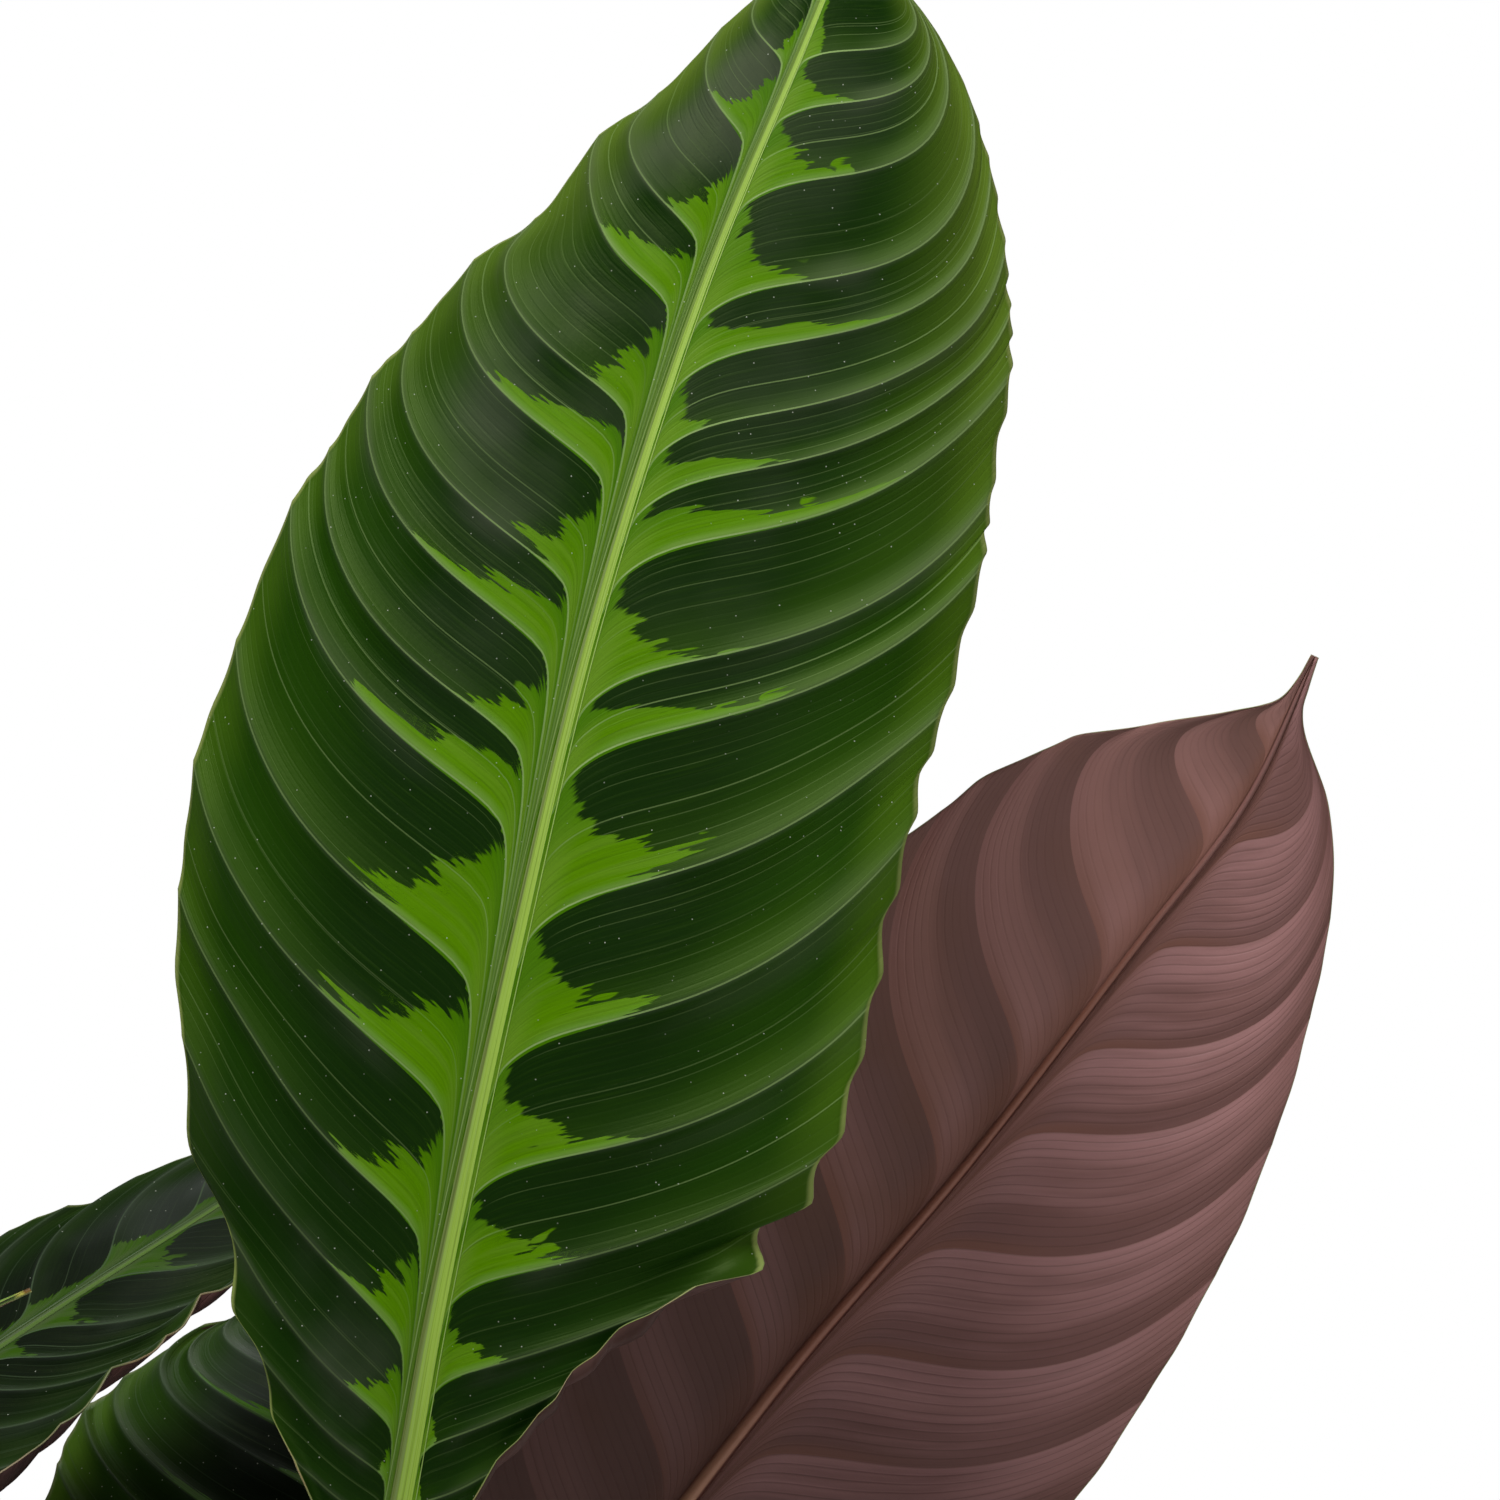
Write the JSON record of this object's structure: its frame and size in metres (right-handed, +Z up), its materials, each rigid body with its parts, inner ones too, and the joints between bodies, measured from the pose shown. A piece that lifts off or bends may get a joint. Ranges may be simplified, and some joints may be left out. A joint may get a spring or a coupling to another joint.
{
  "type": "potted calathea warscewiczii",
  "caption": "Round tapered pot of soil with a clump of long-stalked broad leaves, pleated along curved side veins, dark green with a feathered light midrib above and mauve below.",
  "frame": {"origin": "middle of the pot's underside", "axes": "+Z up along the pot's axis, -Y towards the side from which the tall leaf shows its upper side, +X to the right"},
  "size_m": [0.6458, 0.6729, 0.8426],
  "materials": {
    "pot": "matt, slightly rough",
    "soil": "crumbly and dull",
    "leaf": "velvety with a soft sheen"
  },
  "bodies": {
    "root": {"pot": "pot", "soil": "soil", "leaf_tall": "leaf", "leaf_reverse": "leaf", "leaf_left": "leaf", "leaf_behind": "leaf", "leaf_left_tip": "leaf", "leaf_left_front": "leaf", "leaf_left_back": "leaf", "leaf_right_back": "leaf", "leaf_right_front": "leaf", "leaf_front": "leaf", "leaf_left_low": "leaf", "leaf_back": "leaf"}
  },
  "joints": []
}
